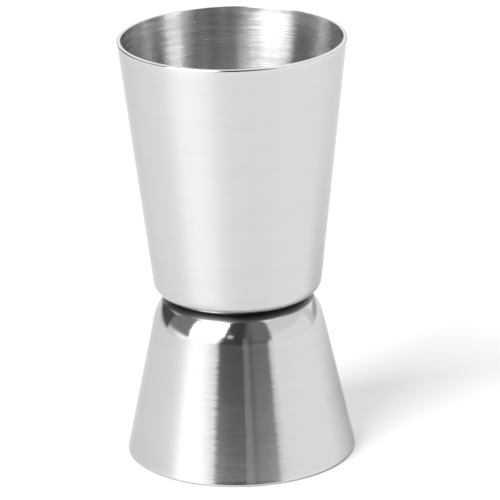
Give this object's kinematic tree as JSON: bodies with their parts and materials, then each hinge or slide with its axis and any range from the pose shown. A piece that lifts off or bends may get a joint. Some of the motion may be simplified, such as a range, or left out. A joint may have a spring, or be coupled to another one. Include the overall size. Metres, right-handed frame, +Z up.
{
  "type": "bar jigger",
  "caption": "Double-ended bar jigger: a tall tapered steel measuring cup and a shorter, wider-flared one, joined base to base at a narrow waist.",
  "frame": {"origin": "centre of the small cup's rim, in the plane the jigger stands on", "axes": "+Z up along the common axis of both cups, out of the large cup's mouth; the object is round, so +X and +Y are any two level directions"},
  "size_m": [0.0438, 0.0438, 0.082],
  "materials": {
    "cup_steel": "stainless sheet, polished outside with faint lines running round it, brushed inside",
    "weld_steel": "fused stainless steel, dull"
  },
  "bodies": {
    "root": {"large_cup": "cup_steel", "small_cup": "cup_steel", "spot_weld_1": "weld_steel", "spot_weld_2": "weld_steel", "spot_weld_3": "weld_steel", "spot_weld_4": "weld_steel"}
  },
  "joints": []
}
